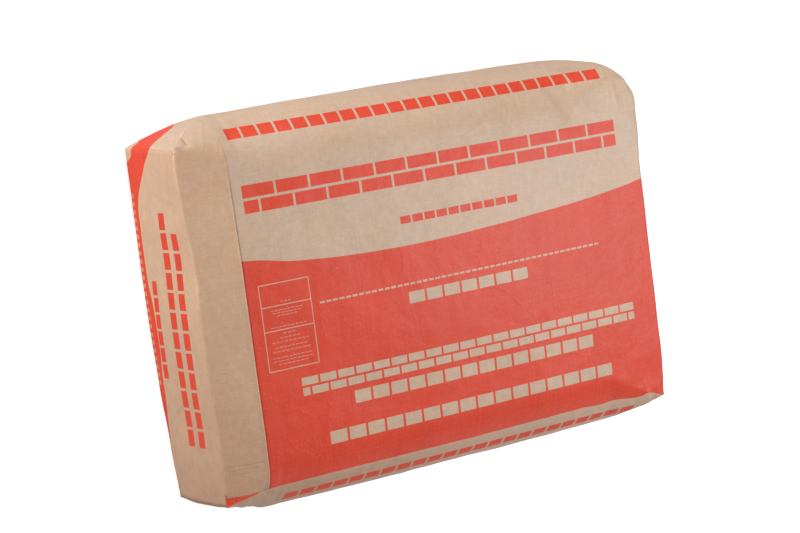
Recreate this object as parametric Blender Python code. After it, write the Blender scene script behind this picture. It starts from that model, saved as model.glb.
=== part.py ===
"""A filled 25 kg cement sack: a pasted paper tube with block bottoms, lying on its back.

Metres, +Z up. +X runs along the sack, +Y across it, and +Z through its front face.
The origin is under the middle of the sack, on the level that it lies on.
"""

import bmesh
import bpy
from math import cos, pi, sin, sqrt

# Driving dimensions of the filled tube
FACE_LENGTH = 0.520        # along the front face, from one end crease to the other
END_WIDTH = 0.334          # across an end face, as its block bottom was folded
END_DEPTH = 0.098          # from back to front at the ends
MID_WIDTH = 0.382          # across the bulging long sides
FRONT_CROWN = 0.005        # rise of the front face's middle above the end creases
CORNER_REACH = 0.065       # length of the triangles where a long side folds in to an end
SIDE_ROUNDING = 0.056      # how far in from a long side the front begins to turn down
END_BULGE = 0.005          # how far the middle of the right end swells out
UPPER_SWELL = 0.002        # how much further it stands out near its upper corner
SOFT_CORNER = 0.012        # radius of that corner, which has lost its edge

# Driving dimensions of the two cover sheets pasted over the block bottoms
SHEET = 0.0008             # thickness of a cover sheet with its paste
SEAT = 0.0003              # gap kept between a cover sheet and the tube
FRONT_LAP = 0.0495         # how far the left sheet laps onto the front face
BACK_CLEAR = 0.0025        # distance of a sheet's lower edge from the back face
SIDE_CLEAR = 0.0010        # distance of a sheet's short edges from the ends of an end face
FRONT_CLEAR = 0.0030       # distance of the right sheet's upper edge from the front face

# The right end is straight in plan up to this share of its half width, and rounded past it
STRAIGHT_SHARE = 1 - 2 * SOFT_CORNER / END_WIDTH
FURTHEST_SWELL = END_BULGE + UPPER_SWELL * STRAIGHT_SHARE

LEFT_END = -(FACE_LENGTH + FURTHEST_SWELL) / 2
RIGHT_END = LEFT_END + FACE_LENGTH

# Fineness of the tube's mesh: shares of the corner's reach, and of the front's flat half
CORNER_STEPS = (0.0, 0.14, 0.32, 0.54, 0.77, 1.0)
FLAT_STEPS = (0.0, 0.3, 0.6, 0.8, STRAIGHT_SHARE, 0.97)
MIDDLE_SPANS = 8
ROUND_SPANS = 6
FACET_SPANS = 2
MERGE = 0.00001


def mix(a, b, share):
    """The value that lies that share of the way from a to b."""
    return a + (b - a) * share


def stations():
    """Places along the sack, from the left end to the right, close together at the corners."""
    near = [step * CORNER_REACH for step in CORNER_STEPS]
    middle_length = FACE_LENGTH - 2 * CORNER_REACH
    middle = [CORNER_REACH + middle_length * k / MIDDLE_SPANS for k in range(1, MIDDLE_SPANS)]
    far = [FACE_LENGTH - place for place in reversed(near)]
    return [LEFT_END + place for place in near + middle + far]


def front_quarter(openness):
    """Points from the middle of the front face to the middle of a long side.

    openness is 0 at an end, where the section is a sharp rectangle, and 1 past the
    folded corner, where the side is a full round.
    """
    half_depth = END_DEPTH / 2
    half_width = mix(END_WIDTH, MID_WIDTH, sin(openness * pi / 2)) / 2
    facet = half_depth * (1 - openness)
    turn = SIDE_ROUNDING * openness
    rise = half_depth - facet
    points = [((half_width - turn) * step, END_DEPTH) for step in FLAT_STEPS]
    for k in range(ROUND_SPANS + 1):
        angle = pi / 2 * (1 - k / ROUND_SPANS)
        points.append((half_width - turn * (1 - cos(angle)), half_depth + facet + rise * sin(angle)))
    for k in range(1, FACET_SPANS + 1):
        points.append((half_width, half_depth + facet * (1 - k / FACET_SPANS)))
    return points


def section(openness):
    """The closed outline of the tube across the sack, as (y, z) pairs."""
    quarter = front_quarter(openness)
    front = quarter + [(y, END_DEPTH - z) for y, z in reversed(quarter[:-1])]
    back = [(-y, z) for y, z in reversed(front[1:-1])]
    return front + back + [front[0]]


def crown(x, y, z):
    """How much the filling lifts a point, which grows from the back face to the front's middle."""
    along = 1 - (2 * (x - LEFT_END) / FACE_LENGTH - 1) ** 2
    across = 1 - (2 * y / MID_WIDTH) ** 2
    height = max(0.0, 2 * z / END_DEPTH - 1)
    return FRONT_CROWN * along * across * height


def right_end_shift(x, y):
    """How far the right end's swelling and its soft corner move a point along the sack."""
    reach = max(0.0, 1 - (RIGHT_END - x) / CORNER_REACH)
    across = max(-1.0, min(1.0, 2 * y / END_WIDTH))
    if across < 0:
        swell = END_BULGE * (1 - across ** 2)
    else:
        swell = END_BULGE + UPPER_SWELL * across
    past = max(0.0, (across - 1) * END_WIDTH / 2 + SOFT_CORNER)
    rounding = SOFT_CORNER - sqrt(SOFT_CORNER ** 2 - past ** 2)
    return (swell - rounding) * reach ** 2


def tube_mesh():
    """The filled tube as one closed bmesh, made from a grid that is wrapped round the sections."""
    places = stations()
    around = len(section(1.0)) - 1
    tube = bmesh.new()
    bmesh.ops.create_grid(tube, x_segments=len(places) - 1, y_segments=around, size=1.0)
    for vertex in tube.verts:
        x = places[round((vertex.co.x + 1) / 2 * (len(places) - 1))]
        from_end = min(x - LEFT_END, RIGHT_END - x)
        y, z = section(min(1.0, from_end / CORNER_REACH))[round((vertex.co.y + 1) / 2 * around)]
        vertex.co = (x + right_end_shift(x, y), y, z + crown(x, y, z))
    bmesh.ops.remove_doubles(tube, verts=tube.verts, dist=MERGE)
    for end in (LEFT_END, RIGHT_END):
        rim = [edge for edge in tube.edges if edge.is_boundary and edge.verts[0].co.x * end > 0]
        long_sides = [edge for edge in rim if abs(edge.verts[0].co.y - edge.verts[1].co.y) > MERGE]
        bmesh.ops.grid_fill(tube, edges=long_sides)
    bmesh.ops.recalc_face_normals(tube, faces=tube.faces)
    return tube


def trim(sheet, place, direction):
    """Cuts a sheet along a plane and drops what lies on the side that direction points to."""
    everything = sheet.verts[:] + sheet.edges[:] + sheet.faces[:]
    bmesh.ops.bisect_plane(sheet, geom=everything, plane_co=place, plane_no=direction, clear_outer=True)


def drop_faces(sheet, unwanted):
    """Removes the faces that unwanted says yes to."""
    faces = [face for face in sheet.faces if unwanted(face)]
    bmesh.ops.delete(sheet, geom=faces, context="FACES")


def left_cover_mesh(tube):
    """The left cover's inner surface: the end face and the lap that it folds onto the front."""
    sheet = tube.copy()
    edge = END_WIDTH / 2 - SIDE_CLEAR
    trim(sheet, (LEFT_END + FRONT_LAP, 0, 0), (1, 0, 0))
    trim(sheet, (0, edge, 0), (0, 1, 0))
    trim(sheet, (0, -edge, 0), (0, -1, 0))
    trim(sheet, (0, 0, BACK_CLEAR), (0, 0, -1))
    drop_faces(sheet, lambda face: face.normal.z < -0.01)
    return sheet


def right_cover_mesh(tube):
    """The right cover's inner surface, which stays on the end face."""
    sheet = tube.copy()
    edge = END_WIDTH / 2 - SIDE_CLEAR
    drop_faces(sheet, lambda face: abs(face.normal.z) > 0.01 or face.calc_center_median().x < RIGHT_END / 2)
    trim(sheet, (0, edge, 0), (0, 1, 0))
    trim(sheet, (0, -edge, 0), (0, -1, 0))
    trim(sheet, (0, 0, BACK_CLEAR), (0, 0, -1))
    trim(sheet, (0, 0, END_DEPTH - FRONT_CLEAR), (0, 0, 1))
    return sheet


def paper(name, colour, roughness):
    """A plain paper material."""
    material = bpy.data.materials.new(name)
    material.use_nodes = True
    shader = material.node_tree.nodes["Principled BSDF"]
    shader.inputs["Base Color"].default_value = (*colour, 1.0)
    shader.inputs["Roughness"].default_value = roughness
    shader.inputs["Metallic"].default_value = 0.0
    return material


def add_piece(name, surface, material):
    """Makes an object of a bmesh and frees it."""
    mesh = bpy.data.meshes.new(name)
    surface.to_mesh(mesh)
    surface.free()
    mesh.materials.append(material)
    piece = bpy.data.objects.new(name, mesh)
    bpy.context.collection.objects.link(piece)
    return piece


def thicken(piece):
    """Gives a cover sheet its thickness, outwards from a seat just clear of the tube."""
    solidify = piece.modifiers.new("sheet thickness", "SOLIDIFY")
    solidify.thickness = SHEET
    solidify.offset = 1 + 2 * SEAT / SHEET
    solidify.use_even_offset = True


def main():
    for leftover in list(bpy.data.objects):
        bpy.data.objects.remove(leftover)
    printed_kraft = paper("printed kraft paper", (0.62, 0.16, 0.09), 0.62)
    bare_kraft = paper("kraft paper", (0.58, 0.43, 0.30), 0.70)
    tube = tube_mesh()
    left_sheet = left_cover_mesh(tube)
    right_sheet = right_cover_mesh(tube)
    sack = add_piece("filled_paper_tube", tube, printed_kraft)
    sack.data.shade_smooth()
    sack.data.set_sharp_from_angle(angle=0.6)
    thicken(add_piece("end_cover_left", left_sheet, bare_kraft))
    thicken(add_piece("end_cover_right", right_sheet, bare_kraft))


main()
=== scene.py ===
"""A filled 25 kg cement sack of printed kraft paper, lying on its back on a pale floor.

The sack is a pasted paper tube with folded block bottoms. A cover sheet is pasted over each
bottom, and the left one laps onto the front. Metres, +Z up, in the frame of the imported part.
"""

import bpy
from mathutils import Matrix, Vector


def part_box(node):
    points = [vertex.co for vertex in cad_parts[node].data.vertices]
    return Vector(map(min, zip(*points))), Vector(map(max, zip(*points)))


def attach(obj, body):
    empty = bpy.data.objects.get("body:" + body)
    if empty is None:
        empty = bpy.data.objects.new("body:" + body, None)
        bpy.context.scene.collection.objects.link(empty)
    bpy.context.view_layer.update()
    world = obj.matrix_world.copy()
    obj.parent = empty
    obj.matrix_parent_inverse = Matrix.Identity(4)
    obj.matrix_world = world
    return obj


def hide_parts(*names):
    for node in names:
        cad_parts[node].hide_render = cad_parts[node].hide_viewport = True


bl_info = {
    "name": "Cement Sack",
    "version": (1, 0, 0),
    "blender": (4, 5, 0),
    "location": "3D View > Sidebar > Cement Sack",
    "description": "Builds a filled paper cement sack, its cover sheets and a studio for it",
    "category": "Object",
}

from math import cos, pi, sin, sqrt
from typing import NamedTuple

import bmesh
import bpy
from bpy.props import FloatProperty, FloatVectorProperty, PointerProperty
from mathutils import Matrix, Vector, noise

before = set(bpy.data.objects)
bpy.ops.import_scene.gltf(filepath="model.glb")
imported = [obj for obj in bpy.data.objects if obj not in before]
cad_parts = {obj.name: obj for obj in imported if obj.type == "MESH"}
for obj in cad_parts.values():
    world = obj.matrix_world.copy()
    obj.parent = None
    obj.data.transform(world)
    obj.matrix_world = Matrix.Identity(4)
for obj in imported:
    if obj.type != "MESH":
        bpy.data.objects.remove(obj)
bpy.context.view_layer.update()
TUBE_LOW, TUBE_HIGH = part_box("filled_paper_tube")

MERGE = 0.00001


# Settings that a user would change

COLOUR = {"subtype": "COLOR", "size": 3, "min": 0, "max": 1}


class SackSizes(bpy.types.PropertyGroup):
    """Sizes of the filled paper tube and of its cover sheets."""

    length: FloatProperty(
        name="Length", default=0.520, unit="LENGTH",
        description="Along the front face, from one end crease to the other",
    )
    end_width: FloatProperty(
        name="End width", default=0.334, unit="LENGTH",
        description="Across an end, as its block bottom was folded",
    )
    middle_width: FloatProperty(
        name="Middle width", default=TUBE_HIGH.y - TUBE_LOW.y, unit="LENGTH",
        description="Across the bulging long sides",
    )
    depth: FloatProperty(
        name="Depth", default=0.098, unit="LENGTH",
        description="From back to front at the ends",
    )
    crown: FloatProperty(
        name="Crown", default=0.0075, unit="LENGTH",
        description="Rise of the front's middle above the end creases",
    )
    corner_reach: FloatProperty(
        name="Corner reach", default=0.065, unit="LENGTH",
        description="Length of the triangles where a long side folds in to an end",
    )
    side_rounding: FloatProperty(
        name="Side rounding", default=0.056, unit="LENGTH",
        description="How far in from a long side the front begins to turn down",
    )
    sheet: FloatProperty(
        name="Cover thickness", default=0.00045, unit="LENGTH",
        description="Thickness of a cover sheet with its paste",
    )
    lap: FloatProperty(
        name="Front lap", default=0.0495, unit="LENGTH",
        description="How far the left cover laps onto the front",
    )


class SackColours(bpy.types.PropertyGroup):
    """Colours of the paper and of its print."""

    front_kraft: FloatVectorProperty(
        name="Front kraft", default=(0.608, 0.418, 0.291),
        description="Unprinted paper of the tube", **COLOUR,
    )
    cover_kraft: FloatVectorProperty(
        name="Cover kraft", default=(0.570, 0.352, 0.219),
        description="Unprinted paper of the cover sheets", **COLOUR,
    )
    ink: FloatVectorProperty(
        name="Ink", default=(0.745, 0.040, 0.003),
        description="The printed red", **COLOUR,
    )


class StudioSettings(bpy.types.PropertyGroup):
    """Light and floor."""

    sky: FloatProperty(
        name="Sky", default=0.51, min=0,
        description="Strength of the light that comes from everywhere",
    )
    key_power: FloatProperty(
        name="Key light", default=7.9, min=0, unit="POWER",
        description="Power of the large light beyond the upper long side",
    )
    end_power: FloatProperty(
        name="End light", default=19.0, min=0, unit="POWER",
        description="Power of the light on the left end",
    )
    sheen_power: FloatProperty(
        name="Sheen light", default=7.0, min=0, unit="POWER",
        description="Power of the light that the front mirrors towards the camera",
    )
    side_power: FloatProperty(
        name="Side light", default=1.6, min=0, unit="POWER",
        description="Power of the light on the lower long side",
    )
    floor_glow: FloatProperty(
        name="Floor glow", default=0.62, min=0,
        description="How brightly the floor glows, as a lit studio table does",
    )
    floor: FloatVectorProperty(
        name="Floor", default=(0.92, 0.92, 0.92),
        description="Colour of the floor", **COLOUR,
    )


# Fineness of the tube's mesh
ROUNDED_RIM = 0.0016
RIM_STEPS = (0.0, 0.0003, 0.0009, ROUNDED_RIM)
CORNER_SPACING = 0.0016
MIDDLE_SPANS = 116
FLAT_SPANS = 44
ROUND_SPANS = 22
FACET_SPANS = 16
FOLD_ANGLE = 0.42          # how sharply a corner's triangle is folded, in radians

# Where the left end crease lies along the sack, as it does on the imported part
LEFT_END = -0.263428

# How far the ends swell out: (place across the sack, swelling)
LEFT_FOOT_SWELL = (
    (-0.167, 0.0003), (-0.120, 0.0028), (-0.060, 0.0054), (0.000, 0.0066),
    (0.050, 0.0066), (0.100, 0.0058), (0.140, 0.0051), (0.167, 0.0046),
)
LEFT_CREASE_SWELL = (
    (-0.167, -0.0018), (-0.105, -0.0030), (-0.050, -0.0006), (0.010, -0.0010),
    (0.058, -0.0026), (0.100, 0.0008), (0.142, 0.0026), (0.167, 0.0010),
)
RIGHT_SWELL = (
    (-0.167, 0.0000), (-0.130, 0.0020), (-0.060, 0.0022), (0.000, 0.0023),
    (0.070, 0.0033), (0.120, 0.0062), (0.150, 0.0080), (0.167, 0.0080),
)
END_FLATNESS = 0.65        # share of the front's crown that is lost at the end creases
SOFT_CORNER = 0.031        # radius of the right end's upper corner, which has lost its edge


class Corner(NamedTuple):
    """How a long side folds in to an end of the sack."""

    reach: float           # length of the folded triangle
    slowness: float        # over 1 holds back the widening
    crumple: float         # how crumpled the paper is, as a share
    bulges: tuple          # (height as a share of the depth, bulge across the sack)
    waves: tuple = ((0.0, 0.0), (1.0, 0.0))     # (distance from the end, bulge across the sack)


UPPER_LEFT = Corner(0.065, 1.05, 0.35, ((0.0, 0.0025), (0.5, 0.0018), (1.0, 0.0)))
LOWER_LEFT = Corner(
    0.065, 2.00, 0.25,
    ((0.0, 0.0064), (0.35, 0.0078), (0.7, 0.0072), (1.0, 0.0056)),
    ((0.0, 0.0), (0.012, 0.0013), (0.025, 0.0022), (0.036, 0.0003), (0.046, -0.0010), (0.062, 0.0)),
)
UPPER_RIGHT = Corner(0.075, 0.68, 0.15, ((0.0, 0.0030), (0.6, 0.0030), (1.0, 0.0)))
LOWER_RIGHT = Corner(0.065, 1.10, 0.60, ((0.0, 0.0050), (0.45, 0.0080), (1.0, 0.0040)))
BULGE_REACH = 0.045        # how far from an end its corners bulge
BELLY = (0.0022, 0.0010)   # how far the middle of the upper and of the lower long side bulges
BELLY_MIDDLE = 0.02
BELLY_REACH = 0.20
SIDE_START = 0.55          # share of the half width past which a point moves with the long side

# The cover sheets
SEAT = 0.0001              # gap kept between a cover sheet and the tube
BACK_CLEAR = 0.0025        # distance of a sheet's lower edge from the back face
FRONT_CLEAR = 0.0030       # distance of the right sheet's upper edge from the front face
LAP_UPPER_EDGE = (0.1660, 0.1660)      # across the sack, at the end crease and at the lap's end
LAP_LOWER_EDGE = (-0.1630, -0.1661)
LAP_LOWEST = 0.8           # share of the depth below which no lap is left
EDGE_LIFT = 0.0003         # how far the lap's cut edge stands off the front
LIFT_WIDTH = 0.004
LIFT_END = (0.14, 0.12)    # across the sack, where the lifted edge begins, and is full
# Where the lap begins to thin, and is thin: past the end crease, and towards its upper edge
THIN_ALONG, THIN_ACROSS = (0.001, 0.006), (0.150, 0.165)
THINNING = 0.8             # share of the sheet's thickness that is lost there


def mix(a, b, share):
    """The value that lies that share of the way from a to b."""
    return a + (b - a) * share


def smooth_step(start, end, value):
    """0 at start and before it, 1 at end and beyond it, and an even turn between them."""
    share = max(0.0, min(1.0, (value - start) / (end - start)))
    return share * share * (3 - 2 * share)


def profile(points, value):
    """A smooth curve through points (place, result)."""
    if value <= points[0][0]:
        return points[0][1]
    for (at, result), (next_at, next_result) in zip(points, points[1:]):
        if value <= next_at:
            return mix(result, next_result, smooth_step(at, next_at, value))
    return points[-1][1]


# The shape of the filled tube


def right_end(sizes):
    """Where the right end crease lies along the sack, before it swells."""
    return LEFT_END + sizes.length


def stations(sizes):
    """Places along the sack, from the left end to the right, close together at the corners."""
    near = list(RIM_STEPS)
    spans = round((sizes.corner_reach - ROUNDED_RIM) / CORNER_SPACING)
    for k in range(1, spans + 1):
        near.append(mix(ROUNDED_RIM, sizes.corner_reach, k / spans))
    middle_length = sizes.length - 2 * sizes.corner_reach
    middle = [sizes.corner_reach + middle_length * k / MIDDLE_SPANS for k in range(1, MIDDLE_SPANS)]
    far = [sizes.length - place for place in reversed(near)]
    return [LEFT_END + place for place in near + middle + far]


def quarter(sizes, openness, slowness):
    """Points from the middle of the front face to the middle of a long side.

    openness is 0 at an end, where the section is a sharp rectangle, and 1 past the folded
    corner, where the side is a full round. slowness over 1 holds back the widening.
    """
    half_depth = sizes.depth / 2
    widening = sin(openness * pi / 2) ** slowness
    half_width = mix(sizes.end_width, sizes.middle_width, widening) / 2
    facet = half_depth * (1 - openness)
    turn = sizes.side_rounding * openness
    rise = half_depth - facet
    last = FOLD_ANGLE * sqrt(1 - openness)
    points = [((half_width - turn) * k / FLAT_SPANS, sizes.depth) for k in range(FLAT_SPANS)]
    for k in range(ROUND_SPANS + 1):
        angle = mix(pi / 2, last, k / ROUND_SPANS)
        out = turn * cos(angle) / cos(last)
        up = rise * (sin(angle) - sin(last)) / (1 - sin(last))
        points.append((half_width - turn + out, half_depth + facet + up))
    for k in range(1, FACET_SPANS + 1):
        points.append((half_width, half_depth + facet * (1 - k / FACET_SPANS)))
    return points


def half_outline(sizes, openness, slowness):
    """Points round one long side, from the middle of the front to the middle of the back."""
    front = quarter(sizes, openness, slowness)
    return front + [(y, sizes.depth - z) for y, z in reversed(front[:-1])]


def section(sizes, from_left, from_right):
    """The closed outline of the tube across the sack, as (y, z) pairs."""
    from_end = min(from_left, from_right)
    corners = (UPPER_LEFT, LOWER_LEFT) if from_left < from_right else (UPPER_RIGHT, LOWER_RIGHT)
    upper, lower = [half_outline(sizes, min(1.0, from_end / c.reach), c.slowness) for c in corners]
    outline = upper + [(-y, z) for y, z in reversed(lower)][1:]
    if from_end >= ROUNDED_RIM:
        return outline
    pull = ROUNDED_RIM - sqrt(ROUNDED_RIM ** 2 - (ROUNDED_RIM - from_end) ** 2)
    narrow = 1 - 2 * pull / sizes.end_width
    low = 1 - 2 * pull / sizes.depth
    return [(y * narrow, mix(sizes.depth / 2, z, low)) for y, z in outline]


def crown(sizes, x, y, z):
    """How much the filling lifts a point, which grows from the back to the front's middle."""
    along = 1 - END_FLATNESS * (2 * (x - LEFT_END) / sizes.length - 1) ** 2
    across = 1 - (2 * y / sizes.middle_width) ** 2
    height = max(0.0, 2 * z / sizes.depth - 1)
    return sizes.crown * along * across * height


def right_end_shift(sizes, x, y):
    """How far the right end's swelling moves a point along the sack."""
    reach = max(0.0, 1 - (right_end(sizes) - x) / sizes.corner_reach)
    return profile(RIGHT_SWELL, y) * reach ** 2


def soft_corner_shift(sizes, x, y):
    """How far the rounding of the right end's upper corner moves a point along and across."""
    along = max(0.0, SOFT_CORNER - (right_end(sizes) - x))
    across = max(0.0, SOFT_CORNER - max(0.0, sizes.end_width / 2 - y))
    if along == 0.0 or across == 0.0:
        return 0.0, 0.0
    shrink = 1 - max(along, across) / sqrt(along ** 2 + across ** 2)
    return -along * shrink, -across * shrink


def left_end_shift(sizes, x, y, z):
    """How far the left end's swelling moves a point along the sack."""
    reach = max(0.0, 1 - (x - LEFT_END) / sizes.corner_reach)
    swell = mix(profile(LEFT_FOOT_SWELL, y), profile(LEFT_CREASE_SWELL, y), z / sizes.depth)
    return -swell * reach ** 2


def side_shift(sizes, x, y, z):
    """How far the bulging corners and long sides move a point across the sack."""
    way = 1 if y > 0 else -1
    side = smooth_step(SIDE_START, 1.0, abs(y) / (sizes.end_width / 2))
    along = max(0.0, 1 - ((x - BELLY_MIDDLE) / BELLY_REACH) ** 2)
    left = smooth_step(BULGE_REACH, 0.0, x - LEFT_END)
    right = smooth_step(BULGE_REACH, 0.0, right_end(sizes) - x)
    at_left, at_right = (UPPER_LEFT, UPPER_RIGHT) if y > 0 else (LOWER_LEFT, LOWER_RIGHT)
    height = z / sizes.depth
    shift = BELLY[0 if y > 0 else 1] * along
    shift += left * profile(at_left.bulges, height) + right * profile(at_right.bulges, height)
    shift += profile(at_left.waves, x - LEFT_END) + profile(at_right.waves, right_end(sizes) - x)
    return way * side * shift


def tube_mesh(sizes):
    """The filled tube as one closed bmesh, from a grid that is wrapped round the sections."""
    places = stations(sizes)
    outlines = [section(sizes, x - LEFT_END, right_end(sizes) - x) for x in places]
    around = len(outlines[0]) - 1
    tube = bmesh.new()
    from_end = tube.verts.layers.float.new("from_end")
    bmesh.ops.create_grid(tube, x_segments=len(places) - 1, y_segments=around, size=1.0)
    for vertex in tube.verts:
        station = round((vertex.co.x + 1) / 2 * (len(places) - 1))
        x = places[station]
        y, z = outlines[station][round((vertex.co.y + 1) / 2 * around)]
        corner_along, corner_across = soft_corner_shift(sizes, x, y)
        along = right_end_shift(sizes, x, y) + left_end_shift(sizes, x, y, z) + corner_along
        across = side_shift(sizes, x, y, z) + corner_across
        vertex.co = (x + along, y + across, z + crown(sizes, x, y, z))
        vertex[from_end] = min(x - LEFT_END, right_end(sizes) - x)
    bmesh.ops.remove_doubles(tube, verts=tube.verts, dist=MERGE)
    for end in (LEFT_END, right_end(sizes)):
        rim = [edge for edge in tube.edges if edge.is_boundary and edge.verts[0].co.x * end > 0]
        spans = [(edge, edge.verts[1].co - edge.verts[0].co) for edge in rim]
        long_sides = [edge for edge, span in spans if abs(span.y) > abs(span.z)]
        bmesh.ops.grid_fill(tube, edges=long_sides)
    bmesh.ops.recalc_face_normals(tube, faces=tube.faces)
    return tube


# The relief of the paper: soft waves everywhere, crumples and folds at the corners

WAVES = ((0.0008, 0.085), (0.0004, 0.034))      # (rise, size)
STREAK_RISE = 0.00022
STREAK_SIZE = (0.016, 0.11, 0.11)       # along the sack, across it and up
LIFT_OFF = (0.001, 0.035)  # heights at which the paper begins to wave, and waves fully
RIDGE_SHARPNESS = 3.2
RIDGE_LEVEL = 0.3          # taken off the ridges, so that the paper between them sinks
FINE_SHARE = 0.45          # depth of the fine crumples, as a share of the depth of the coarse ones
CRUMPLE_RISE = 0.0008
CRUMPLE_REACH = (0.10, 0.03)            # distances from an end where crumples begin, and are full
CRUMPLE_BAND = (0.10, 0.165)            # distances across the sack where they begin, and are full
CRUMPLE_SIZES = (0.026, 0.011)
CRUMPLE_BEND = 0.012       # how far their lines are bent
BEND_SIZE = 0.03


class Crease(NamedTuple):
    """A ridge or a valley of the paper along a line of points, and the tone painted along it: a
    painted highlight on a ridge, painted shade in a valley.
    """

    points: tuple
    reach: float
    rise: float
    # over 1 a painted highlight along the line, under 1 painted shade
    tone: float


# Folds of the left end's upper and lower corner, with painted highlights along ridges and painted
# shade along valleys and fine wrinkles
LEFT_CREASES = (
    Crease((
        (-0.2637, 0.1658, 0.0960), (-0.2597, 0.1689, 0.0931), (-0.2533, 0.1736, 0.0898),
        (-0.2396, 0.1811, 0.0771), (-0.2282, 0.1852, 0.0679), (-0.2204, 0.1879, 0.0658),
        (-0.2100, 0.1893, 0.0623),
    ), 0.0036, 0.0014, 1.22),
    Crease((
        (-0.2657, 0.1684, 0.0540), (-0.2575, 0.1728, 0.0514), (-0.2466, 0.1788, 0.0482),
        (-0.2351, 0.1829, 0.0388), (-0.2275, 0.1857, 0.0371),
    ), 0.0030, 0.0010, 1.18),
    Crease(((-0.2620, 0.1690, 0.0620), (-0.2500, 0.1762, 0.0590)), 0.0030, -0.0006, 0.86),
    Crease(((-0.2500, 0.1750, 0.0879), (-0.2487, 0.1691, 0.0959)), 0.0030, -0.0010, 0.76),
    Crease(((-0.2603, 0.1671, 0.0979), (-0.2526, 0.1659, 0.0986)), 0.0024, -0.0007, 0.76),
    Crease((
        (-0.2165, -0.1661, 0.0930), (-0.2040, -0.1775, 0.0830), (-0.1904, -0.1872, 0.0667),
    ), 0.0080, -0.0012, 0.93),
    Crease(((-0.2594, -0.1439, 0.1000), (-0.2592, -0.1574, 0.0996)), 0.0026, 0.0006, 1.08),
    Crease(((-0.2581, -0.1345, 0.1005), (-0.2205, -0.1372, 0.1010)), 0.0016, 0.0, 0.86),
    Crease(((-0.2565, -0.1388, 0.1002), (-0.2254, -0.1409, 0.1010)), 0.0016, 0.0, 0.86),
    Crease(((-0.2531, -0.1434, 0.1002), (-0.2341, -0.1438, 0.1005)), 0.0016, 0.0, 0.88),
)
# The same, and those of the front and of the right end's corners
CREASES = (
    *LEFT_CREASES,
    Crease(((0.1163, 0.0432, 0.1038), (0.1151, 0.0068, 0.1046)), 0.0044, -0.0005, 0.955),
    Crease(((0.1243, -0.0153, 0.1042), (0.1222, -0.0457, 0.1040)), 0.0044, -0.0005, 0.955),
    Crease(((0.1153, -0.0588, 0.1040), (0.1150, -0.0979, 0.1028)), 0.0044, -0.0005, 0.955),
    Crease(((-0.1410, -0.0979, 0.1028), (-0.1476, -0.1319, 0.1011)), 0.0050, 0.0004, 1.03),
    Crease(((0.1136, 0.1611, 0.0951), (0.1064, 0.1298, 0.1021)), 0.0060, 0.0005, 1.04),
    Crease(((0.1579, 0.1652, 0.0923), (0.1744, 0.1341, 0.1010)), 0.0110, -0.0013, 0.89),
    Crease(((0.1900, 0.1800, 0.0780), (0.2150, 0.1740, 0.0860)), 0.0130, -0.0006, 0.91),
    Crease(((0.1918, 0.1687, 0.0911), (0.1850, 0.1367, 0.1008)), 0.0060, 0.0007, 1.08),
    Crease(((0.2279, 0.1615, 0.0992), (0.2297, 0.1427, 0.0999)), 0.0050, 0.0006, 1.09),
    Crease(((0.2351, 0.1585, 0.0994), (0.2391, 0.1372, 0.1000)), 0.0050, 0.0006, 1.09),
    Crease(((0.2290, 0.1740, 0.0860), (0.2330, 0.1725, 0.0870)), 0.0040, 0.0006, 1.22),
    Crease(((0.2356, -0.1655, 0.0985), (0.2400, -0.1725, 0.0940)), 0.0060, 0.0010, 1.12),
    Crease(((0.2440, -0.1690, 0.0975), (0.2435, -0.1745, 0.0935)), 0.0040, -0.0010, 0.84),
)
CREASE_LINE = 0.55         # width of a drawn crease, as a share of its reach
CREASE_CUT = 3             # distance past which a crease lifts nothing, in its reaches
CREASE_SLACK = 1.3         # a crease stays within this many of its spans from its start


def from_line(start, end, place):
    """How far a place is from the line between two points."""
    start = Vector(start)
    along = Vector(end) - start
    share = max(0.0, min(1.0, (place - start).dot(along) / along.length_squared))
    return (place - start - along * share).length


def crease_rise(crease, place):
    """How far a crease lifts a point of the paper."""
    start = Vector(crease.points[0])
    length = (Vector(crease.points[-1]) - start).length
    if (place - start).length > CREASE_SLACK * length + CREASE_CUT * crease.reach:
        return 0.0
    spans = zip(crease.points, crease.points[1:])
    off = min(from_line(*span, place) for span in spans) / crease.reach
    return crease.rise / (1 + off * off) ** 2 if off < CREASE_CUT else 0.0


def ridges(place, size):
    """Sharp-edged folds between 0 and 1, about that size apart."""
    return max(0.0, 1 - abs(noise.noise(place / size)) * RIDGE_SHARPNESS)


def corner_crumple(sizes, place):
    """The small sharp folds of the paper near the folded corners, as a share of their depth."""
    x, y, _ = place
    from_left, from_right = x - LEFT_END, right_end(sizes) - x
    near = smooth_step(*CRUMPLE_REACH, min(from_left, from_right))
    near *= smooth_step(*CRUMPLE_BAND, abs(y))
    if near == 0.0:
        return 0.0
    if from_right < from_left:
        near *= (UPPER_RIGHT if y > 0 else LOWER_RIGHT).crumple
    else:
        near *= (UPPER_LEFT if y > 0 else LOWER_LEFT).crumple
    aside = place / BEND_SIZE
    bend = Vector((noise.noise(aside), noise.noise(aside + Vector((7, 3, 5))), 0))
    bent = place + bend * CRUMPLE_BEND
    coarse, fine = [ridges(bent, size) - RIDGE_LEVEL for size in CRUMPLE_SIZES]
    return near * (coarse + FINE_SHARE * fine)


def paper_rise(sizes, place):
    """How far the paper stands out from the smooth shape at a point."""
    rise = sum(height * noise.noise(place / size) for height, size in WAVES)
    streaks = Vector([at / size for at, size in zip(place, STREAK_SIZE)])
    rise += STREAK_RISE * noise.noise(streaks) + CRUMPLE_RISE * corner_crumple(sizes, place)
    folds = sum(crease_rise(crease, place) for crease in CREASES if crease.rise)
    return smooth_step(*LIFT_OFF, place.z) * rise + folds


def rumple(sizes, surface):
    """Moves each point of a bmesh along its normal by the rise of the paper there."""
    surface.normal_update()
    moves = [vertex.normal * paper_rise(sizes, vertex.co) for vertex in surface.verts]
    for vertex, move in zip(surface.verts, moves):
        vertex.co += move
    surface.normal_update()


# The cover sheets


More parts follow.
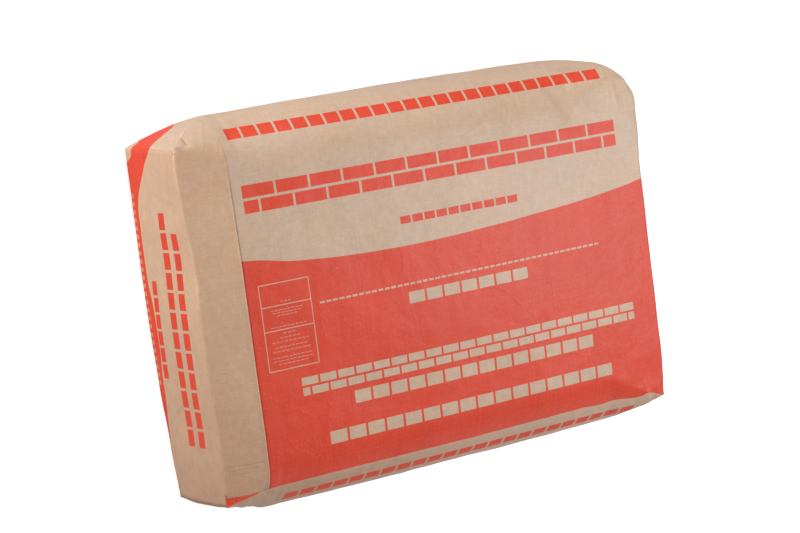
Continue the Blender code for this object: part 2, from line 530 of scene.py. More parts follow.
def trim(sheet, place, direction, faces=None):
    """Cuts a sheet, or some of its faces, along a plane and drops what direction points to."""
    if faces is None:
        faces = sheet.faces[:]
    parts = dict.fromkeys(part for face in faces for part in (*face.verts, *face.edges, face))
    bmesh.ops.bisect_plane(
        sheet, geom=list(parts), plane_co=place, plane_no=direction, clear_outer=True
    )


def drop_faces(sheet, unwanted):
    """Removes the faces that unwanted says yes to."""
    faces = [face for face in sheet.faces if unwanted(face)]
    bmesh.ops.delete(sheet, geom=faces, context="FACES")


def on_end(sheet, face):
    """Whether a face belongs to an end of the tube, up to the first step of its rounded rim."""
    from_end = sheet.verts.layers.float["from_end"]
    return max(vertex[from_end] for vertex in face.verts) < mix(RIM_STEPS[1], RIM_STEPS[2], 0.25)


def left_cover_mesh(sizes, tube):
    """The left cover's inner surface: the end face and the lap that it folds onto the front."""
    sheet = tube.copy()
    trim(sheet, (LEFT_END + sizes.lap, 0, 0), (1, 0, 0))
    trim(sheet, (0, 0, BACK_CLEAR), (0, 0, -1))
    for end_y, lap_y in (LAP_UPPER_EDGE, LAP_LOWER_EDGE):
        lap = [face for face in sheet.faces if not on_end(sheet, face)]
        across = 1 if end_y > 0 else -1
        slant = (lap_y - end_y) / sizes.lap
        trim(sheet, (LEFT_END, end_y, 0), (-slant * across, across, 0), lap)
    low = sizes.depth * LAP_LOWEST
    drop_faces(sheet, lambda face: not on_end(sheet, face) and face.calc_center_median().z < low)
    body = sheet.verts.layers.deform.verify()
    for vertex in sheet.verts:
        x, y, _ = vertex.co
        free = smooth_step(LIFT_WIDTH, 0.0, LEFT_END + sizes.lap - x) * smooth_step(*LIFT_END, y)
        vertex.co.z += EDGE_LIFT * free
        thin = smooth_step(*THIN_ALONG, x - LEFT_END) * smooth_step(*THIN_ACROSS, y)
        vertex[body][0] = 1 - THINNING * thin
    return sheet


def right_cover_mesh(sizes, tube):
    """The right cover's inner surface, which stays on the end face."""
    sheet = tube.copy()
    drop_faces(sheet, lambda face: not on_end(sheet, face) or face.calc_center_median().x < 0)
    trim(sheet, (0, 0, BACK_CLEAR), (0, 0, -1))
    trim(sheet, (0, 0, sizes.depth - FRONT_CLEAR), (0, 0, 1))
    body = sheet.verts.layers.deform.verify()
    for vertex in sheet.verts:
        vertex[body][0] = 1.0
    return sheet


# Paper materials


class Recipe:
    """Adds nodes to a material and joins them up."""

    def __init__(self, name):
        self.material = bpy.data.materials.new(name)
        self.material.use_nodes = True
        self.tree = self.material.node_tree
        self.shader = self.tree.nodes["Principled BSDF"]
        self.place = self.node("ShaderNodeTexCoord").outputs["Object"]
        self.x, self.y, self.z = self.node("ShaderNodeSeparateXYZ", Vector=self.place).outputs

    def node(self, kind, settings=None, **inputs):
        """A new node with its settings and inputs; an input is a number or another's output."""
        made = self.tree.nodes.new(kind)
        for name, value in (settings or {}).items():
            setattr(made, name, value)
        for name, value in inputs.items():
            self.feed(made.inputs[name.replace("_", " ")], value)
        return made

    def feed(self, socket, value):
        """Links an output to an input, or sets the input's own value."""
        if isinstance(value, bpy.types.NodeSocket):
            self.tree.links.new(value, socket)
        else:
            socket.default_value = value

    def shade(self, **inputs):
        """Sets or links the shader's own inputs, and gives back the material."""
        for name, value in inputs.items():
            self.feed(self.shader.inputs[name.replace("_", " ")], value)
        return self.material

    def maths(self, operation, *values, clamp=False):
        """The result of a Math node."""
        made = self.node("ShaderNodeMath", {"operation": operation, "use_clamp": clamp})
        for socket, value in zip(made.inputs, values):
            self.feed(socket, value)
        return made.outputs[0]

    def vector(self, operation, first, second=None, scale=None):
        """The result of a Vector Math node: a number for a distance or a dot product."""
        made = self.node("ShaderNodeVectorMath", {"operation": operation})
        self.feed(made.inputs[0], first)
        if second is not None:
            self.feed(made.inputs[1], second)
        if scale is not None:
            self.feed(made.inputs["Scale"], scale)
        return made.outputs["Value" if operation in ("DISTANCE", "DOT_PRODUCT") else "Vector"]

    def below(self, value, limit, softness):
        """1 where value is below limit, 0 above it, with a soft step."""
        rest = self.maths("SUBTRACT", limit, value)
        return self.maths("MULTIPLY_ADD", rest, 1 / softness, 0.5, clamp=True)

    def outside(self, mask):
        """0 where a mask is 1, and 1 where it is 0."""
        return self.maths("SUBTRACT", 1.0, mask)

    def above(self, value, limit, softness):
        """1 where value is above limit, 0 below it, with a soft step."""
        return self.outside(self.below(value, limit, softness))

    def all_of(self, *masks):
        """The product of several masks."""
        result = masks[0]
        for mask in masks[1:]:
            result = self.maths("MULTIPLY", result, mask)
        return result

    def any_of(self, *masks):
        """The largest of several masks."""
        result = masks[0]
        for mask in masks[1:]:
            result = self.maths("MAXIMUM", result, mask)
        return result

    def between(self, value, low, high, softness=0.0004):
        """1 between two limits."""
        return self.all_of(self.above(value, low, softness), self.below(value, high, softness))

    def combine(self, x, y, z=0.0):
        """A vector or a colour of three values."""
        return self.node("ShaderNodeCombineXYZ", X=x, Y=y, Z=z).outputs[0]

    def stretch(self, scale):
        """The place on the object, stretched along its axes."""
        made = self.node("ShaderNodeMapping", Vector=self.place)
        made.inputs["Scale"].default_value = scale
        return made.outputs[0]

    def noise(self, scale, detail=2.0, vector=None, roughness=0.5):
        """Soft noise between 0 and 1."""
        kind = "ShaderNodeTexNoise"
        place = vector or self.place
        made = self.node(kind, Vector=place, Scale=scale, Detail=detail, Roughness=roughness)
        return made.outputs["Fac"]

    def spread(self, value, width, middle=0.0):
        """A noise, turned into values of that width about a middle."""
        return self.maths("MULTIPLY_ADD", value, width, middle - width / 2)

    def curve(self, value, points):
        """A smooth curve through points (value, result), from the first to the last of them."""
        low, high = points[0][0], points[-1][0]
        share = self.maths("DIVIDE", self.maths("SUBTRACT", value, low), high - low)
        made = self.node("ShaderNodeFloatCurve", Value=share)
        line = made.mapping.curves[0]
        bottom = min(result for _, result in points)
        span = max(result for _, result in points) - bottom
        marks = [((at - low) / (high - low), (result - bottom) / span) for at, result in points]
        line.points[0].location = marks[0]
        line.points[1].location = marks[-1]
        for mark in marks[1:-1]:
            line.points.new(*mark)
        made.mapping.update()
        return self.maths("MULTIPLY_ADD", made.outputs[0], span, bottom)

    def blend(self, share, first, second, mode="MIX"):
        """One colour over another; a colour is three numbers or another node's output."""
        made = self.node("ShaderNodeMix", {"data_type": "RGBA", "blend_type": mode})
        self.feed(made.inputs[0], share)
        for socket, colour in ((made.inputs[6], first), (made.inputs[7], second)):
            linked = isinstance(colour, bpy.types.NodeSocket)
            self.feed(socket, colour if linked else (*colour, 1.0))
        return made.outputs[2]

    def lit(self, colour, light):
        """A colour, made that much paler or darker."""
        return self.blend(1.0, colour, self.combine(light, light, light), "MULTIPLY")

    def bump(self, height, distance, under=None):
        """A bumped normal, on top of another."""
        made = self.node("ShaderNodeBump", Height=height, Distance=distance, Strength=1.0)
        if under is not None:
            self.feed(made.inputs["Normal"], under)
        return made.outputs[0]

    def bricks(self, along, across, course):
        """1 on the bricks of a course, 0 elsewhere."""
        pitch = (course.end - course.start + course.joint) / course.count
        turns = self.maths("MULTIPLY_ADD", along, 1 / pitch, course.shift - course.start / pitch)
        brick = self.below(self.maths("FRACT", turns), 1 - course.joint / pitch, BRICK_EDGE / pitch)
        return self.all_of(
            brick,
            self.between(along, course.start, course.end),
            self.between(across, course.low, course.high),
        )

    def distance(self, point):
        """How far the place on the object is from a point."""
        return self.vector("DISTANCE", self.place, point)

    def near(self, point, reach):
        """1 at a point, fading to 0 at that reach from it."""
        return self.maths("MULTIPLY_ADD", self.distance(point), -1 / reach, 1.0, clamp=True)

    def near_line(self, start, end, width):
        """1 on the line from start to end, fading to 0 at that width from it."""
        along = Vector(end) - Vector(start)
        way = along / along.length_squared
        travel = self.vector("DOT_PRODUCT", self.place, way)
        share = self.maths("SUBTRACT", travel, way.dot(Vector(start)), clamp=True)
        foot = self.vector("ADD", self.vector("SCALE", along, scale=share), start)
        return self.near(foot, width)

    def near_points(self, points, width):
        """1 on the lines that join points, fading to 0 at that width from them."""
        return self.any_of(*[self.near_line(*span, width) for span in zip(points, points[1:])])

    def toned(self, tone, mask, strength):
        """A tone, made that much paler or darker where the mask is 1."""
        return self.maths("MULTIPLY", tone, self.maths("MULTIPLY_ADD", mask, strength - 1, 1.0))

    def dots(self, spacing, radius, vector):
        """1 inside round dots on a regular grid."""
        kind, flat = "ShaderNodeTexVoronoi", {"voronoi_dimensions": "2D"}
        made = self.node(kind, flat, Vector=vector, Scale=1 / spacing, Randomness=0.0)
        return self.below(made.outputs["Distance"], radius / spacing, 0.05)


def shaded(recipe, colour, shades):
    """A colour, darkened and lightened by several noises: (noise, strength)."""
    light = None
    for noise_value, strength in shades:
        share = recipe.spread(noise_value, strength, 1.0)
        light = share if light is None else recipe.maths("MULTIPLY", light, share)
    return recipe.lit(colour, light)


def paper_grain(recipe, base):
    """Kraft paper's colour: soft clouds, fine mottling, and pale and dark fibres both ways."""
    warm = [channel * share for channel, share in zip(base, (1.03, 0.97, 0.90))]
    cool = [channel * share for channel, share in zip(base, (0.97, 1.02, 1.07))]
    tone = recipe.blend(recipe.noise(22.0, 4.0), warm, cool)
    shades = (
        (recipe.noise(14.0, 3.0), 0.20),
        (recipe.noise(150.0, 3.0, roughness=0.65), 0.26),
        (recipe.noise(1.0, 2.0, recipe.stretch((90.0, 900.0, 900.0))), 0.22),
        (recipe.noise(1.0, 2.0, recipe.stretch((900.0, 90.0, 90.0))), 0.22),
    )
    return shaded(recipe, tone, shades)


def paper_normal(recipe):
    """Fibres, small waves and fine handling creases, as a bumped normal."""
    fibres = recipe.noise(900.0, 3.0)
    waves = recipe.noise(60.0, 2.0)
    drift = recipe.node("ShaderNodeTexNoise", Vector=recipe.place, Scale=20.0).outputs["Color"]
    moved = recipe.vector("ADD", recipe.place, recipe.vector("SCALE", drift, scale=0.03))
    edges = {"feature": "DISTANCE_TO_EDGE"}
    cells = recipe.node("ShaderNodeTexVoronoi", edges, Vector=moved, Scale=26.0)
    crease = recipe.below(cells.outputs["Distance"], 0.012, 0.05)
    faint = recipe.all_of(crease, recipe.above(recipe.noise(9.0, 1.0), 0.5, 0.3))
    normal = recipe.bump(waves, 0.0006)
    normal = recipe.bump(faint, 0.00012, normal)
    return recipe.bump(fibres, 0.00003, normal)


def worn_ink(recipe, ink):
    """The ink's colour: streaks of the printing roller, soft clouds and a fine speckle."""
    shades = (
        (recipe.noise(1.0, 2.0, recipe.stretch((520.0, 24.0, 24.0))), 0.24),
        (recipe.noise(420.0, 3.0), 0.20),
        (recipe.noise(12.0, 3.0), 0.16),
    )
    return shaded(recipe, ink, shades)


# Finish of the paper and of its print
PAPER_ROUGHNESS = 0.41
INK_ROUGHNESS = 0.04       # how much rougher the ink is
ROUGHNESS_SPREAD = 0.12
GLOSS = 0.56
SPECK_LOSS = 0.45          # how much ink the fine pale specks lack
TONE_RELIEF = 0.0010       # height of the bump that goes with a tone


def creased(recipe, tone, creases):
    """A tone, with the painted highlights and painted shade along the creases drawn into it."""
    for crease in creases:
        line = recipe.near_points(crease.points, crease.reach * CREASE_LINE)
        tone = recipe.toned(tone, line, crease.tone)
    return tone


def finish(recipe, paper, ink, printed, tone):
    """Joins paper, ink, the mask of the print and the tone of its wear and its painted light and
    shade to the shader.
    """
    specks = recipe.above(recipe.noise(760.0, 2.0), 0.70, 0.10)
    cover = recipe.all_of(printed, recipe.maths("MULTIPLY_ADD", specks, -SPECK_LOSS, 1.0))
    colour = recipe.lit(recipe.blend(cover, paper, ink), tone)
    rough = recipe.maths("MULTIPLY_ADD", printed, INK_ROUGHNESS, PAPER_ROUGHNESS)
    rough = recipe.maths("ADD", rough, recipe.spread(recipe.noise(300.0), ROUGHNESS_SPREAD))
    normal = recipe.bump(tone, TONE_RELIEF, paper_normal(recipe))
    return recipe.shade(Base_Color=colour, Roughness=rough, Specular_IOR_Level=GLOSS, Normal=normal)


# The print: plain courses of bricks in the two colours of paper and ink


class Course(NamedTuple):
    """A row of printed bricks: where it lies along and across, and how it is divided."""

    start: float
    end: float
    low: float
    high: float
    count: int
    joint: float = 0.0026
    shift: float = 0.0     # share of a brick by which the row is moved along


FRONT_INK_COURSES = (
    Course(-0.2020, 0.2320, 0.1108, 0.1228, 12),
    Course(-0.2020, 0.2320, 0.0962, 0.1082, 12, shift=0.5),
    Course(-0.0380, 0.1005, 0.0592, 0.0666, 10, joint=0.0020),
)
FRONT_BARE_COURSES = (
    Course(-0.1380, 0.1930, -0.0003, 0.0017, 46, joint=0.0018),
    Course(-0.0400, 0.1010, -0.0186, -0.0072, 7),
    Course(-0.1680, 0.2280, -0.0744, -0.0668, 20, joint=0.0022),
    Course(-0.1680, 0.2280, -0.0842, -0.0766, 20, joint=0.0022, shift=0.5),
    Course(-0.1130, 0.1720, -0.1026, -0.0902, 14),
    Course(-0.1450, 0.1920, -0.1362, -0.1238, 16),
)
UPPER_SIDE_COURSE = Course(-0.2040, 0.2240, 0.1663, 0.1765, 24)
LOWER_SIDE_COURSE = Course(-0.1920, 0.2240, -0.1832, -0.1762, 23)

# Heights across the sack of the red field's edges, along the sack: (x, y)
FIELD_TOP = (
    (-0.2700, 0.0560), (-0.2150, 0.0536), (-0.1490, 0.0437), (-0.0490, 0.0380),
    (-0.0035, 0.0380), (0.0560, 0.0400), (0.1295, 0.0442), (0.1805, 0.0478), (0.2325, 0.0536),
    (0.2600, 0.0582), (0.2700, 0.0600),
)
FIELD_BOTTOM = (
    (-0.2700, -0.1722), (-0.2540, -0.1702), (-0.2413, -0.1692), (-0.2300, -0.1676),
    (-0.2140, -0.1660), (0.0700, -0.1658), (0.1526, -0.1647), (0.1787, -0.1661),
    (0.1938, -0.1650), (0.2263, -0.1671), (0.2340, -0.1648), (0.2407, -0.1657),
    (0.2510, -0.1700), (0.2700, -0.1760),
)

# Height of the red back's edge on the two long sides, along the sack: (x, z)
UPPER_BACK_EDGE = (
    (-0.2700, 0.0535), (-0.2657, 0.0530), (-0.2580, 0.0485), (-0.2466, 0.0470),
    (-0.2275, 0.0360), (-0.2000, 0.0280), (0.2000, 0.0280), (0.2700, 0.0400),
)
LOWER_BACK_EDGE = (
    (-0.2700, 0.0000), (-0.2560, 0.0010), (-0.2400, 0.0080), (-0.2000, 0.0280),
    (0.2000, 0.0280), (0.2700, 0.0400),
)
# How strongly the lower long side is painted darker and browner as shade, along the sack: (x,
# strength)
LOWER_SIDE_SHADING = ((-0.2700, 1.0), (-0.1500, 0.9), (0.1500, 0.2), (0.2700, 0.2))

LOWER_SIDE_SHADE_KEPT = (0.84, 0.73, 0.66)            # share of each colour channel that the painted shade of the lower side keeps
LOWER_SIDE_SHADE_START = (-0.166, 0.006)           # where the painted shade starts across the sack, and how softly
FIELD_EDGE = 0.0005        # softness of the print's edges
BACK_EDGE = 0.0006
BRICK_EDGE = 0.0003
RAGGEDNESS = 0.0016        # how far the print's edges wander
PRICK_SPACING = 0.0052     # the front shows a grid of fine pricked holes in places
PRICK_RADIUS = 0.00042
PRICK_LOSS = 0.20          # share of the ink that is missing at a prick
SHADOW_TONE = 0.72         # how dark the line beside the lap's edge is
SHADOW_WIDTH = 0.0017

BARE_CORNER = (-0.2660, 0.1690, 0.0020)     # where the ink is missing from the back corner
BARE_CORNER_REACH = 0.0155
BARE_CORNER_WAVES = 0.006


def printed_kraft(sizes, colours):
    """The tube's paper: kraft with a red field on the front and a red back."""
    recipe = Recipe("printed_kraft_paper")
    paper = paper_grain(recipe, colours.front_kraft)
    ink = worn_ink(recipe, colours.ink)
    x, y, z = recipe.x, recipe.y, recipe.z
    # Painted shade: the lower long side is painted darker and browner, most towards the left end.
    painted_lower_shade = recipe.all_of(recipe.below(y, *LOWER_SIDE_SHADE_START), recipe.curve(x, LOWER_SIDE_SHADING))
    paper = recipe.blend(painted_lower_shade, paper, recipe.blend(1.0, paper, LOWER_SIDE_SHADE_KEPT, "MULTIPLY"))
    ragged = recipe.spread(recipe.noise(45.0, 2.0), RAGGEDNESS)
    rough_y = recipe.maths("ADD", y, ragged)
    front = recipe.above(z, sizes.depth / 2, 0.0004)
    below_top = recipe.below(y, recipe.curve(x, FIELD_TOP), FIELD_EDGE)
    above_bottom = recipe.above(rough_y, recipe.curve(x, FIELD_BOTTOM), FIELD_EDGE)
    field = recipe.all_of(front, below_top, above_bottom)
    rough_z = recipe.maths("ADD", z, ragged)
    upper_back = recipe.below(rough_z, recipe.curve(x, UPPER_BACK_EDGE), BACK_EDGE)
    lower_back = recipe.below(rough_z, recipe.curve(x, LOWER_BACK_EDGE), BACK_EDGE)
    upper_half = recipe.above(y, 0.0, 0.001)
    back = recipe.any_of(recipe.all_of(upper_back, upper_half), lower_back)
    back = recipe.all_of(back, recipe.outside(bare_corner(recipe)))

    inked = (*FRONT_INK_COURSES, UPPER_SIDE_COURSE, LOWER_SIDE_COURSE)
    inked = [recipe.bricks(x, y, course) for course in inked]
    bare = [recipe.bricks(x, y, course) for course in FRONT_BARE_COURSES]
    bare = recipe.all_of(front, recipe.any_of(*bare, stamp_box(recipe)))
    pricks = recipe.dots(PRICK_SPACING, PRICK_RADIUS, recipe.combine(x, y))
    pricks = recipe.all_of(pricks, recipe.above(recipe.noise(7.0, 1.0), 0.46, 0.12), front)

    printed = recipe.any_of(field, back, recipe.all_of(front, recipe.any_of(*inked)))
    printed = recipe.all_of(printed, recipe.outside(bare))
    printed = recipe.all_of(printed, recipe.maths("MULTIPLY_ADD", pricks, -PRICK_LOSS, 1.0))
    lap_end = LEFT_END + sizes.lap
    shadow = recipe.between(x, lap_end - 0.001, lap_end + SHADOW_WIDTH, 0.0008)
    beside = recipe.above(y, LAP_LOWER_EDGE[1], 0.0010)
    shadow = recipe.all_of(front, beside, shadow, recipe.curve(y, LAP_LINE))
    tone = recipe.toned(1.0, shadow, SHADOW_TONE)
    # The creases add painted highlights along ridges and painted shade along valleys.
    return finish(recipe, paper, ink, printed, creased(recipe, tone, CREASES))


def bare_corner(recipe):
    """1 near the back corner where the ink ends."""
    reach = recipe.distance(BARE_CORNER)
    wavy = recipe.maths("MULTIPLY_ADD", recipe.noise(120.0, 1.0), BARE_CORNER_WAVES, reach)
    return recipe.below(wavy, BARE_CORNER_REACH, BACK_EDGE)


# The ruled box on the front, and the rows of dashes in it: (half a row's length, y, dashes)
STAMP_LEFT, STAMP_RIGHT, STAMP_BOTTOM, STAMP_TOP = -0.2003, -0.1464, -0.0556, 0.0278
STAMP_RULES = (0.0056, -0.0177)
STAMP_LINE = 0.0009
STAMP_MIDDLE = -0.1735
STAMP_ROWS = (
    (0.0060, 0.0090, 3), (0.0170, 0.0012, 8), (0.0150, -0.0014, 7), (0.0110, -0.0040, 5),
    (0.0190, -0.0146, 9), (0.0070, -0.0212, 3), (0.0110, -0.0252, 5), (0.0200, -0.0290, 9),
    (0.0170, -0.0340, 8), (0.0200, -0.0378, 9), (0.0210, -0.0436, 10), (0.0210, -0.0468, 10),
    (0.0160, -0.0500, 7),
)
STAMP_MARKS = tuple(
    Course(STAMP_MIDDLE - half, STAMP_MIDDLE + half, y, y + STAMP_LINE, count, joint=0.0011)
    for half, y, count in STAMP_ROWS
)
STAMP_INK = 0.6            # strength of the dashes


def stamp_box(recipe):
    """A thin ruled box with rows of fine dashes."""
    x, y = recipe.x, recipe.y

    def inside(inset):
        """1 inside the box, that far in from its edges."""
        return recipe.all_of(
            recipe.between(x, STAMP_LEFT + inset, STAMP_RIGHT - inset),
            recipe.between(y, STAMP_BOTTOM + inset, STAMP_TOP - inset),
        )

    outer = inside(0.0)
    frame_line = recipe.all_of(outer, recipe.outside(inside(STAMP_LINE)))
    rules = [recipe.between(y, rule, rule + STAMP_LINE) for rule in STAMP_RULES]
    marks = [recipe.bricks(x, y, mark) for mark in STAMP_MARKS]
    fine = recipe.maths("MULTIPLY", recipe.any_of(*marks), STAMP_INK)
    return recipe.any_of(frame_line, recipe.all_of(outer, recipe.any_of(*rules)), fine)


# Height of the red margin at the foot of the left cover, across the sack: (y, z)
FOOT_MARGIN = (
    (-0.1700, 0.0020), (-0.1297, 0.0030), (-0.1157, 0.0042), (-0.0955, 0.0071),
    (-0.0752, 0.0108), (-0.0495, 0.0124), (-0.0257, 0.0158), (-0.0003, 0.0164),
    (0.0230, 0.0152), (0.0384, 0.0124), (0.0519, 0.0122), (0.0770, 0.0120), (0.0963, 0.0132),
    (0.1079, 0.0134), (0.1194, 0.0162), (0.1347, 0.0248), (0.1442, 0.0324), (0.1536, 0.0391),
    (0.1648, 0.0500), (0.1700, 0.0540),
)

# The printed courses on the left end, which run along y and are as high as z says
END_TILT = 0.047           # how far the print climbs for each metre across the sack
END_PRINT_DEPTH = 0.004    # how far along the sack from the end crease the end's print reaches
END_COURSES = (
    Course(-0.1180, 0.0880, 0.0658, 0.0770, 11, joint=0.0028),
    Course(-0.1175, 0.1075, 0.0460, 0.0572, 12, joint=0.0028),
    Course(-0.0530, 0.0420, 0.0180, 0.0264, 6, joint=0.0024),
)
# The dashes in the red margin, and the share of the ink that they lack
FOOT_MARKS = Course(-0.0600, 0.1260, 0.0026, 0.0072, 24, joint=0.0036)
FOOT_MARK_LOSS = 0.7

# Strength of the painted shadow and painted highlight at the lap's cut edge, and of the wear on the
# end crease: (y, strength)
LAP_LINE = ((-0.1700, 1.0), (0.1150, 1.0), (0.1350, 0.5), (0.1700, 0.15))
CREASE_WEAR = (
    (-0.1700, 0.10), (0.0100, 0.15), (0.0330, 0.95), (0.0450, 0.85), (0.0560, 0.15),
    (0.0730, 0.85), (0.0850, 0.20), (0.1150, 0.45), (0.1400, 0.95), (0.1700, 0.95),
)
# Painted light and shade across the cover sheets: 0 where they are painted darkest, towards the
# lower long side, 1 where they are painted brightest
COVER_LIGHT_FALLOFF = ((-0.1700, 0.0), (-0.1000, 0.5), (0.0000, 0.85), (0.0600, 1.0), (0.1700, 0.85))
COVER_SHADED_SHARE, COVER_LIT_SHARE = (0.86, 0.79, 0.75), (1.11, 1.13, 1.15)    # share of each colour channel that is kept where painted darkest and where painted brightest
WEAR_WIDTH = 0.0028        # the pale, worn line on the end crease
WEAR_TONE = 1.24
RIM_WIDTH = 0.0022         # the pale rim of the paper above the red margin
RIM_TONE = 1.07
CUT_HIGHLIGHT_WIDTH = 0.0013         # the painted highlight along the lap's cut edge
CUT_HIGHLIGHT_TONE = 1.15
PRICK = (-0.2645, -0.1620, 0.0040)     # a hole pricked through the lower corner of the end
PRICK_REACH = 0.0018
PRICK_TONE = 0.25
CUT_EDGE_TONE = 1.18       # how much paler the sheet is in its thickness
CUT_EDGE_ROUGHNESS = 0.75


def end_crease_points(sizes):
    """Points along the left end crease, where the cover sheet folds onto the front."""
    points = []
    for y, swell in LEFT_CREASE_SWELL:
        points.append((LEFT_END - swell, y, sizes.depth + crown(sizes, LEFT_END, y, sizes.depth)))
    return points


def cover_tone(recipe, sizes, margin):
    """The tone of the cover sheets: a pale worn end crease, a pale rim, a painted highlight along
    the lap's cut edge, painted highlights and shade along the corner creases, and one dark hole.
    """
    y, z = recipe.y, recipe.z
    worn = recipe.near_points(end_crease_points(sizes), WEAR_WIDTH)
    worn = recipe.all_of(worn, recipe.curve(y, CREASE_WEAR))
    tone = recipe.toned(1.0, worn, WEAR_TONE)
    rim_top = recipe.maths("ADD", margin, RIM_WIDTH)
    rim = recipe.all_of(recipe.above(z, margin, 0.0006), recipe.below(z, rim_top, 0.0010))
    tone = recipe.toned(tone, rim, RIM_TONE)
    # A painted highlight along the lap's cut edge.
    cut = recipe.above(recipe.x, LEFT_END + sizes.lap - CUT_HIGHLIGHT_WIDTH, 0.0006)
    cut = recipe.all_of(cut, recipe.curve(y, LAP_LINE))
    tone = recipe.toned(tone, cut, CUT_HIGHLIGHT_TONE)
    tone = recipe.toned(tone, recipe.near(PRICK, PRICK_REACH), PRICK_TONE)
    return creased(recipe, tone, LEFT_CREASES)


def cover_kraft(sizes, colours):
    """The cover sheets' paper: kraft with printed courses and a red margin at the foot."""
    recipe = Recipe("cover_kraft_paper")
    paper = paper_grain(recipe, colours.cover_kraft)
    # Painted light and shade: the cover paper is darker towards the lower long side and paler above
    # the middle.
    age = recipe.blend(recipe.curve(recipe.y, COVER_LIGHT_FALLOFF), COVER_SHADED_SHARE, COVER_LIT_SHARE)
    paper = recipe.blend(1.0, paper, age, "MULTIPLY")
    ink = worn_ink(recipe, colours.ink)
    y, z = recipe.y, recipe.z
    left = recipe.below(recipe.x, LEFT_END + END_PRINT_DEPTH, 0.001)
    tilted = recipe.maths("MULTIPLY_ADD", y, -END_TILT, z)
    courses = [recipe.bricks(y, tilted, course) for course in END_COURSES]
    margin_edge = recipe.curve(y, FOOT_MARGIN)
    margin = recipe.below(z, margin_edge, BACK_EDGE)
    marks = recipe.maths("MULTIPLY", recipe.bricks(y, z, FOOT_MARKS), FOOT_MARK_LOSS)
    margin = recipe.all_of(margin, recipe.outside(recipe.any_of(bare_corner(recipe), marks)))
    printed = recipe.all_of(left, recipe.any_of(margin, *courses))
    return finish(recipe, paper, ink, printed, cover_tone(recipe, sizes, margin_edge))


def cut_edge(colours):
    """The pale cut edge of a cover sheet."""
    recipe = Recipe("cut_paper_edge")
    pale = [channel * CUT_EDGE_TONE for channel in colours.cover_kraft]
    return recipe.shade(Base_Color=paper_grain(recipe, pale), Roughness=CUT_EDGE_ROUGHNESS)


# Pieces


def add_piece(name, surface, *materials):
    """Makes an object of a bmesh, frees the bmesh and smooths the object."""
    mesh = bpy.data.meshes.new(name)
    surface.to_mesh(mesh)
    surface.free()
    for material in materials:
        mesh.materials.append(material)
    mesh.shade_smooth()
    piece = bpy.data.objects.new(name, mesh)
    bpy.context.collection.objects.link(piece)
    return piece


def thicken(piece, sizes):
    """Gives a cover sheet its thickness, outwards from a seat just clear of the tube."""
    solidify = piece.modifiers.new("sheet thickness", "SOLIDIFY")
    solidify.thickness = sizes.sheet
    solidify.offset = 1 + 2 * SEAT / sizes.sheet
    solidify.use_even_offset = True
    solidify.material_offset_rim = 1
    solidify.vertex_group = piece.vertex_groups.new(name="body").name


def settings():
    """The settings of the sack and of the studio."""
    scene = bpy.context.scene
    return scene.sack_sizes, scene.sack_colours, scene.sack_studio


def finished_tube(sizes):
    """The tube's bmesh with the relief of its paper."""
    tube = tube_mesh(sizes)
    rumple(sizes, tube)
    return tube


class SACK_OT_add_tube(bpy.types.Operator):
    """Builds the filled, printed paper tube"""

    bl_idname = "cement_sack.add_tube"
    bl_label = "Paper Tube"

    def execute(self, context):
        sizes, colours, _ = settings()
        tube = add_piece("paper_tube", finished_tube(sizes), printed_kraft(sizes, colours))
        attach(tube, "root")
        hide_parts("filled_paper_tube")
        return {"FINISHED"}


class SACK_OT_add_covers(bpy.types.Operator):
    """Builds the cover sheets that are pasted over the two block bottoms"""

    bl_idname = "cement_sack.add_covers"
    bl_label = "Cover Sheets"

    def execute(self, context):
        sizes, colours, _ = settings()
        tube = finished_tube(sizes)
        kraft = cover_kraft(sizes, colours)
        edge = cut_edge(colours)
        for side, shape in (("left", left_cover_mesh), ("right", right_cover_mesh)):
            cover = add_piece("cover_sheet_" + side, shape(sizes, tube), kraft, edge)
            thicken(cover, sizes)
            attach(cover, "root")
            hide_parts("end_cover_" + side)
        tube.free()
        return {"FINISHED"}


# The camera at the photograph's viewing angle
CAMERA_PLACE = (-1.178600, 0.287362, 2.025254)
CAMERA_RIGHT = (0.84537532, -0.13278070, 0.51740686)
CAMERA_UP = (0.17534528, 0.98392005, -0.03399062)
CAMERA_BACK = (-0.50457369, 0.11945968, 0.85506419)
CAMERA_LENS = 104.306

# The floor
FLOOR_REACH = 6.0
FLOOR_DROP = 0.0004        # gap between the floor and the sack's back
FLOOR_ROUGHNESS = 0.9
WHITE = (1.0, 1.0, 1.0, 1.0)

# The studio's lights: (name, size, place, target)
LIGHTS = (
    ("key", 1.0, (0.20, 1.70, 1.10), (0.0, 0.0, 0.05)),
    ("sheen", 0.45, (1.03, -0.08, 1.35), (0.16, 0.05, 0.10)),
    ("end", 0.5, (-1.25, 0.95, 0.10), (-0.26, 0.0, 0.05)),
    ("side", 0.8, (0.90, -1.30, 0.50), (0.0, -0.15, 0.05)),
)


def soft_light(name, power, size, place, target):
    """A square studio light at a place, pointed at a target."""
    lamp = bpy.data.lights.new(name, "AREA")
    lamp.energy = power
    lamp.shape = "SQUARE"
    lamp.size = size
    light = bpy.data.objects.new(name, lamp)
    bpy.context.collection.objects.link(light)
    direction = Vector(target) - Vector(place)
    turn = direction.to_track_quat("-Z", "Y").to_matrix().to_4x4()
    light.matrix_world = Matrix.Translation(place) @ turn


def add_floor(studio):
    """The pale, glowing floor, which neither lights the sack nor is mirrored in it."""
    plane = bmesh.new()
    bmesh.ops.create_grid(plane, x_segments=1, y_segments=1, size=FLOOR_REACH)
    material = Recipe("studio_floor").shade(
        Roughness=FLOOR_ROUGHNESS,
        Specular_IOR_Level=0.0,
        Base_Color=(*studio.floor, 1.0),
        Emission_Color=WHITE,
        Emission_Strength=studio.floor_glow,
    )
    floor = add_piece("studio_floor", plane, material)
    floor.data.transform(Matrix.Translation((0, 0, -FLOOR_DROP)))
    floor.visible_diffuse = False
    floor.visible_glossy = False


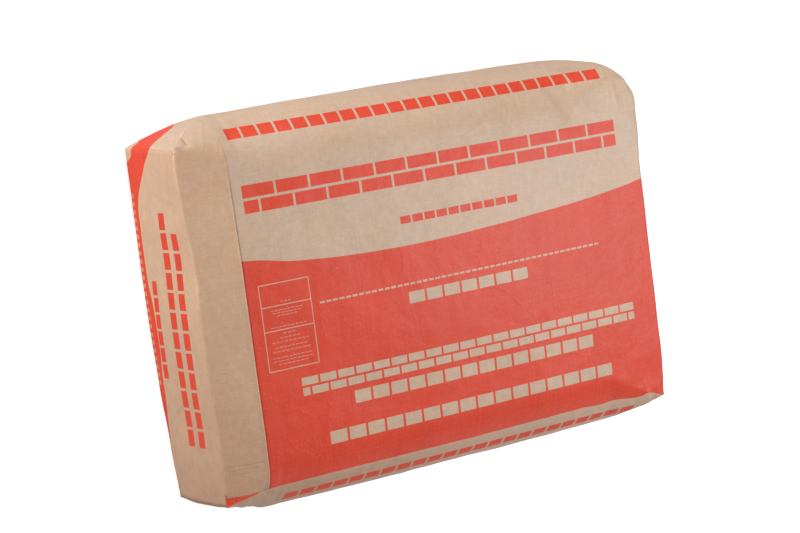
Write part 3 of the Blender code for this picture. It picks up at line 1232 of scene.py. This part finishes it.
def add_camera():
    """The camera at the photograph's place."""
    lens = bpy.data.cameras.new("camera")
    lens.lens = CAMERA_LENS
    lens.sensor_width = 36.0
    lens.sensor_fit = "HORIZONTAL"
    lens.clip_start = 0.01
    camera = bpy.data.objects.new("camera", lens)
    bpy.context.collection.objects.link(camera)
    turn = Matrix((CAMERA_RIGHT, CAMERA_UP, CAMERA_BACK)).transposed().to_4x4()
    camera.matrix_world = Matrix.Translation(CAMERA_PLACE) @ turn
    bpy.context.scene.camera = camera


class SACK_OT_add_stage(bpy.types.Operator):
    """Builds the floor, the lights and the camera"""

    bl_idname = "cement_sack.add_stage"
    bl_label = "Studio"

    def execute(self, context):
        _, _, studio = settings()
        add_floor(studio)
        world = bpy.data.worlds.new("studio_sky")
        world.use_nodes = True
        sky = world.node_tree.nodes["Background"]
        sky.inputs["Color"].default_value = WHITE
        sky.inputs["Strength"].default_value = studio.sky
        context.scene.world = world
        context.scene.view_settings.view_transform = "Standard"
        for name, size, place, target in LIGHTS:
            soft_light(name + "_light", getattr(studio, name + "_power"), size, place, target)
        add_camera()
        return {"FINISHED"}


class SACK_PT_pieces(bpy.types.Panel):
    """Lists the pieces of the sack and the studio"""

    bl_label = "Cement Sack"
    bl_idname = "SACK_PT_pieces"
    bl_space_type = "VIEW_3D"
    bl_region_type = "UI"
    bl_category = "Cement Sack"

    def draw(self, context):
        for operator in OPERATORS:
            self.layout.operator(operator.bl_idname)
        for group in settings():
            box = self.layout.box()
            for name in group.__annotations__:
                box.prop(group, name)


OPERATORS = (SACK_OT_add_tube, SACK_OT_add_covers, SACK_OT_add_stage)
CLASSES = (SackSizes, SackColours, StudioSettings, *OPERATORS, SACK_PT_pieces)


def register():
    for item in CLASSES:
        bpy.utils.register_class(item)
    bpy.types.Scene.sack_sizes = PointerProperty(type=SackSizes)
    bpy.types.Scene.sack_colours = PointerProperty(type=SackColours)
    bpy.types.Scene.sack_studio = PointerProperty(type=StudioSettings)


def unregister():
    del bpy.types.Scene.sack_studio
    del bpy.types.Scene.sack_colours
    del bpy.types.Scene.sack_sizes
    for item in reversed(CLASSES):
        bpy.utils.unregister_class(item)


def main():
    """Builds the sack and its studio."""
    register()
    bpy.ops.cement_sack.add_tube()
    bpy.ops.cement_sack.add_covers()
    bpy.ops.cement_sack.add_stage()


if __name__ == "__main__":
    main()
